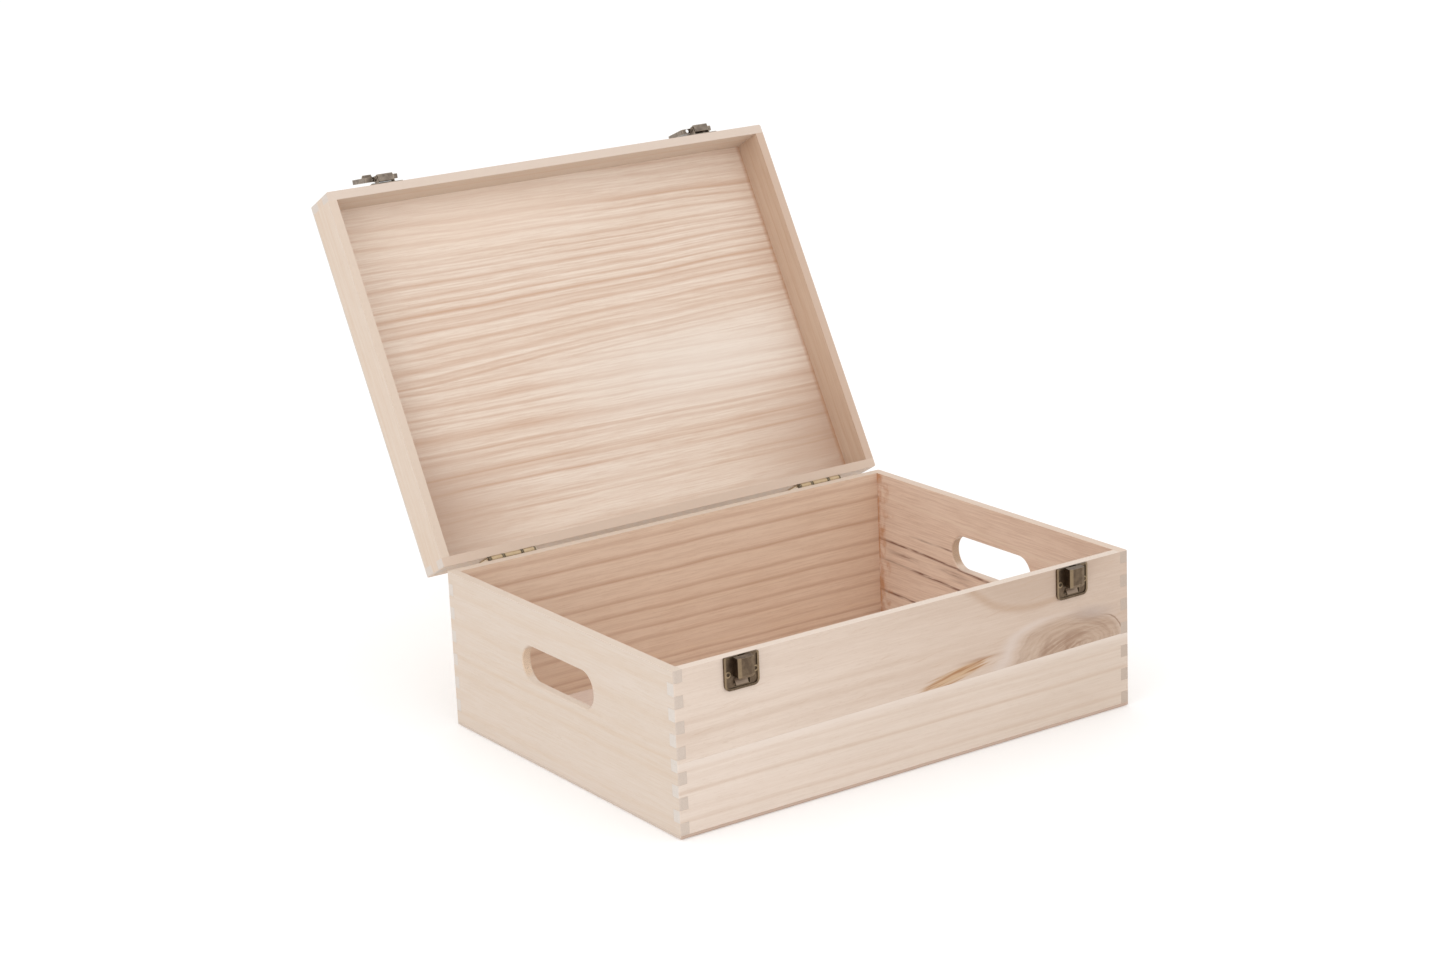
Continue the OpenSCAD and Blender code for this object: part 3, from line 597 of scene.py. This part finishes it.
# places on a catch plate in mm: x from its middle, z from the floor, and how far it stands proud
NAIL_X = 11.3
NAIL_Z = 107.7
RING_RADIUS = 1.85
BEVEL_X = 5.5
KEEPER_SIDE_X = 6.95
KEEPER_FOOT_Z = 107.1
TONGUE_X, TONGUE_HALF_W = -1.1, 5.2
TONGUE_Z, TONGUE_HALF_H = 101.9, 2.6
SLOT_X, SLOT_HALF_W = 5.5, 1.2
SLOT_Z, SLOT_HALF_H = 100.2, 1.6

# places along a hinge in mm from its middle, and about its pin
KNUCKLE_JOINT = 8.0
HINGE_END = 17.8
KNUCKLE_RADIUS = 2.4


def catch_bronze():
    """The catch plates: rings and edges worn bright, painted glints on the left bevel, bead and tongue.
    """
    m = Metal("catch_bronze", srgb(95, 80, 66), srgb(116, 99, 81), srgb(160, 139, 111), 1.0)
    side = m.math("SIGN", m.x)
    x = m.math("MULTIPLY_ADD", side, -LATCH_X, m.x)
    proud = m.math("MULTIPLY_ADD", m.y, -1.0, FRONT_Y)
    sideways = m.math("ABSOLUTE", x)
    ring = m.far(m.minus(sideways, NAIL_X), m.minus(m.z, NAIL_Z))
    m.wear_and_glint(m.times(m.near(ring, RING_RADIUS, 0.5, 0.15), m.fit(proud, 1.0, 1.3)), 0.85)
    # painted glint of the left light on the keeper's left bevel, over wear; the right bevel is only worn
    m.wear_and_glint(m.times(m.near(x, -BEVEL_X, 1.5), m.fit(proud, 6.6, 6.9)), 0.6)
    m.wear_and_glint(m.times(m.near(x, BEVEL_X, 1.5), m.fit(proud, 6.6, 6.9)), 0.15)
    m.wear_and_glint(m.times(m.fit(proud, 6.1, 6.4), m.fit(m.z, KEEPER_FOOT_Z, KEEPER_FOOT_Z - 0.5)), 0.25)
    # the plate's bead at its sides: wear, and a painted glint
    m.wear_and_glint(m.times(m.fit(sideways, 12.3, 12.8), m.fit(proud, 1.2, 1.5)), 0.6)
    # painted shade on the keeper's sides
    m.paint_shade(m.times(m.near(sideways, KEEPER_SIDE_X, 0.35, 0.1), m.near(proud, 3.8, 3.0)), 0.5, 0.6)
    # painted reflection: the bent tongue is painted pale, as metal catching the light
    tongue = m.times(m.near(x, TONGUE_X, TONGUE_HALF_W), m.near(m.z, TONGUE_Z, TONGUE_HALF_H))
    m.colour = m.mix(m.times(tongue, m.fit(proud, 0.9, 1.3)), m.colour, srgb(150, 132, 116))
    # painted shadow in the recess beside the tongue
    slot = m.times(m.near(x, SLOT_X, SLOT_HALF_W), m.near(m.z, SLOT_Z, SLOT_HALF_H))
    m.paint_shade(m.times(slot, m.fit(proud, 0.6, 0.4)), 0.85, 0.2)
    return m.metal(0.36, edges=0.5, corners=0.25)


def hinge_brass():
    """The hinges: dull brass, with painted shadow where the knuckles meet and at their ends."""
    m = Metal("brass", srgb(192, 168, 134), srgb(202, 180, 148), srgb(226, 210, 184), 9.0)
    along = m.math("ABSOLUTE", m.minus(m.math("ABSOLUTE", m.x), HINGE_X))
    from_pin = m.far(m.minus(m.y, HINGE_AXIS.y * MM), m.minus(m.z, HINGE_AXIS.z * MM))
    knuckle = m.fit(from_pin, KNUCKLE_RADIUS + 0.4, KNUCKLE_RADIUS)
    # painted shadow where the knuckles meet and past their ends
    m.paint_shade(m.times(m.near(along, KNUCKLE_JOINT, 1.3, 0.5), knuckle), 0.95, 0.15)
    m.paint_shade(m.times(m.fit(along, HINGE_END, HINGE_END + 1.2), knuckle), 0.9, 0.15)
    return m.metal(0.34)


# ---------- give each CAD node its material ----------

WELD_REACH = 1e-6
FLAT_ANGLE = math.radians(0.5)
EDGE_ANGLE = math.radians(32)
WOOD_EDGE = 0.00022
PLATE_EDGE = 0.0002
HASP_EDGE = 0.0003
BRASS_EDGE = 0.00012


def paint(names, material):
    """Puts a material on every slot of the named nodes."""
    for name in names:
        for slot in nodes[name].material_slots:
            slot.material = material
        if not nodes[name].material_slots:
            nodes[name].data.materials.append(material)


def soften(names, width, segments=2):
    """Small rounded edges, put on by modifiers over the CAD mesh."""
    for name in names:
        piece = nodes[name]
        weld = piece.modifiers.new("weld", "WELD")
        weld.merge_threshold = WELD_REACH
        flat = piece.modifiers.new("flat", "DECIMATE")
        flat.decimate_type = "DISSOLVE"
        flat.angle_limit = FLAT_ANGLE
        bevel = piece.modifiers.new("bevel", "BEVEL")
        bevel.width = width
        bevel.segments = segments
        bevel.limit_method = "ANGLE"
        bevel.angle_limit = EDGE_ANGLE
        normals = piece.modifiers.new("normals", "WEIGHTED_NORMAL")
        normals.keep_sharp = True


RAIL = tint(228, 211, 196), tint(222, 203, 185), tint(210, 172, 134)
RAIL_WARM = tint(222, 198, 177), tint(214, 186, 162), tint(190, 142, 106)
WOOD = {
    "front_board_upper": front_upper(),
    "front_board_lower": front_lower(),
    "left_panel": left_side(),
    "right_panel": right_side(),
    "back_panel": back(),
    "bottom_panel": bottom(),
    "lid_top_panel": lid_panel(),
    "lid_front_rail": lid_rail("wood_lid_front", "x", "y", 41.3, *RAIL, tint(232, 214, 200)),
    "lid_back_rail": lid_rail("wood_lid_back", "x", "y", 47.9, *RAIL, tint(225, 201, 182)),
    "lid_left_rail": lid_rail("wood_lid_left", "y", "x", 52.6, *RAIL, tint(232, 212, 194)),
    "lid_right_rail": lid_rail("wood_lid_right", "y", "x", 58.4, *RAIL_WARM, tint(218, 191, 171)),
}
for board, material in WOOD.items():
    paint([board], material)

PLATES = ["left_catch_plate", "right_catch_plate"]
HASPS = ["left_hasp_bracket", "right_hasp_bracket", "left_hasp", "right_hasp"]
HASP_PINS = ["left_hasp_pin", "right_hasp_pin"]
NAILS = ["catch_nails", "bracket_nails"]
LEAVES = [f"{side}_hinge_{half}_leaf" for half in ("base", "lid") for side in ("left", "right")]
HINGE_SMALL = ["left_hinge_pin", "right_hinge_pin", "hinge_base_screws", "hinge_lid_screws"]

# the hasps' palette: paler and greyer than the plates', with a painted sheen in it
HASP_WITH_SHEEN = srgb(122, 111, 101), srgb(158, 145, 132), srgb(212, 196, 174)
DARK = srgb(74, 62, 52), srgb(96, 82, 68), srgb(150, 130, 104)
aged_bronze = Metal("aged_bronze", *HASP_WITH_SHEEN, seed=1.0)
nail_bronze = Metal("nail_bronze", *DARK, seed=5.0)
paint(PLATES, catch_bronze())
paint(HASPS + HASP_PINS, aged_bronze.metal(0.38))
paint(NAILS, nail_bronze.metal(0.42))
paint(LEAVES + HINGE_SMALL, hinge_brass())

soften(WOOD, WOOD_EDGE)
soften(PLATES, PLATE_EDGE)
soften(HASPS, HASP_EDGE, segments=3)
soften(LEAVES, BRASS_EDGE)


# ---------- floor, light and camera ----------


FLOOR_REACH = 30.0
FLOOR_GAP = 0.0002
FLOOR_GLOW = 0.1


def floor_material():
    """Matt white paper, faintly dappled, lit a little from below so that it stays pale far off."""
    m = Tree("floor_white")
    place = m.add("TexCoord", {}).outputs["Object"]
    dapple = m.noise(place, scale=30.0, detail=2.0)
    shade = m.mix(m.fit(dapple, 0.3, 0.7), (0.95, 0.95, 0.95, 1.0), (0.94, 0.94, 0.94, 1.0))
    m.finish(shade, 0.8, dapple, 0.00002, Specular_IOR_Level=0.1)
    shader = next(n for n in m.nodes if n.type == "BSDF_PRINCIPLED")
    shader.inputs["Emission Color"].default_value = (1.0, 1.0, 1.0, 1.0)
    shader.inputs["Emission Strength"].default_value = FLOOR_GLOW
    return m.material


def make_floor():
    """A wide plain floor, a hair below the box so that the two never share a face."""
    reach = FLOOR_REACH
    mesh = bpy.data.meshes.new("floor")
    corners = [(-reach, -reach, 0), (reach, -reach, 0), (reach, reach, 0), (-reach, reach, 0)]
    mesh.from_pydata([Vector(c) for c in corners], [], [(0, 1, 2, 3)])
    floor = bpy.data.objects.new("floor", mesh)
    floor.location.z = -FLOOR_GAP
    scene.collection.objects.link(floor)
    mesh.materials.append(floor_material())


def area_light(name, place, target, size, power):
    """A white soft box at place, turned to face target."""
    light = bpy.data.lights.new(name, "AREA")
    light.shape = "RECTANGLE"
    light.size, light.size_y = size
    light.energy = power
    lamp = bpy.data.objects.new(name, light)
    lamp.location = place
    lamp.rotation_euler = (Vector(target) - Vector(place)).to_track_quat("-Z", "Y").to_euler()
    scene.collection.objects.link(lamp)


def make_light():
    """An even pale room with a weak soft box overhead and a stronger one at the left."""
    world = bpy.data.worlds.new("studio")
    scene.world = world
    world.use_nodes = True
    background = world.node_tree.nodes["Background"]
    background.inputs["Color"].default_value = (1.0, 0.997, 0.992, 1.0)
    background.inputs["Strength"].default_value = 1.005
    area_light("overhead", (-0.3, -0.2, 2.4), (0, 0, 0.1), (2.2, 2.2), 3.5)
    area_light("left_box", (-2.4, -0.9, 1.3), (0, 0, 0.15), (1.6, 1.4), 10.0)


CAMERA_PLACE = (-1.25927, -1.78479, 0.79928)
CAMERA_ANGLES = (-34.0617, 15.7786, -2.5447)  # azimuth, elevation and roll in degrees
CAMERA_LENS = 77.80


def make_camera():
    """A camera a little left of the box's front and above it."""
    data = bpy.data.cameras.new("camera")
    data.lens = CAMERA_LENS
    data.sensor_width = 36.0
    data.clip_end = 100.0
    camera = bpy.data.objects.new("camera", data)
    azimuth, elevation, roll = [math.radians(angle) for angle in CAMERA_ANGLES]
    forward = Vector(
        (
            -math.sin(azimuth) * math.cos(elevation),
            math.cos(azimuth) * math.cos(elevation),
            -math.sin(elevation),
        )
    )
    right = forward.cross(Vector((0, 0, 1))).normalized()
    down = forward.cross(right)
    turned_right = right * math.cos(roll) - down * math.sin(roll)
    turned_down = right * math.sin(roll) + down * math.cos(roll)
    turn = Matrix((turned_right, -turned_down, -forward)).transposed()
    camera.matrix_world = Matrix.Translation(CAMERA_PLACE) @ turn.to_4x4()
    scene.collection.objects.link(camera)
    scene.camera = camera


make_floor()
make_light()
make_camera()
scene.view_settings.view_transform = "Standard"
